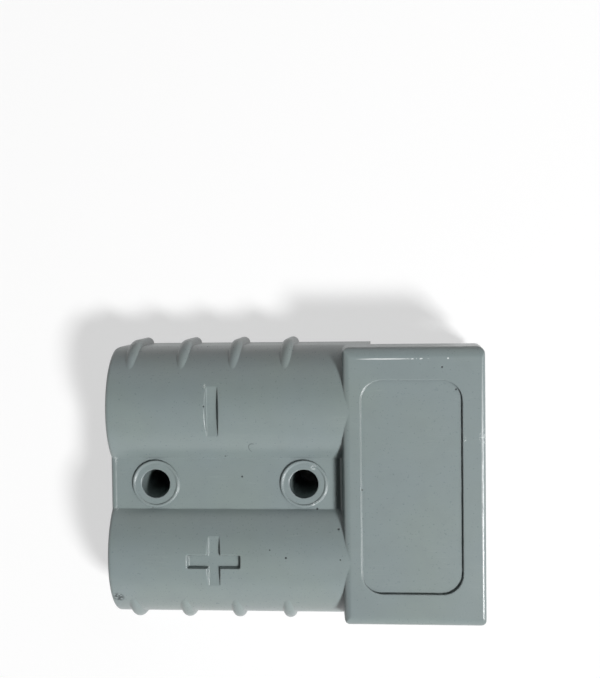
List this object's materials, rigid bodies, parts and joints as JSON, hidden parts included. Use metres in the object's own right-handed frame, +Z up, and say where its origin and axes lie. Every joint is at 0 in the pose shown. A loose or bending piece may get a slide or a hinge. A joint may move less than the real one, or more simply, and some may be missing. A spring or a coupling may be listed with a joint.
{
  "type": "genderless power connector",
  "caption": "Genderless two-pole high-current connector half with round cable entries, a hood and tongue that mate with an equal half, and holes through its web for panel mounting.",
  "frame": {"origin": "under the middle of the part's box, on the plane of its flat side", "axes": "+X towards the mating end, +Y towards the negative pole, +Z up from the flat side to the barrels"},
  "size_m": [0.0478, 0.0366, 0.016],
  "materials": {
    "housing_plastic": "moulded, semi-gloss, blue-grey",
    "contact_plating": "silver-plated, satin",
    "spring_steel": "rolled stainless strip"
  },
  "bodies": {
    "root": {"housing": "housing_plastic", "contact_positive": "contact_plating", "contact_negative": "contact_plating", "spring_positive": "spring_steel", "spring_negative": "spring_steel"}
  },
  "joints": []
}
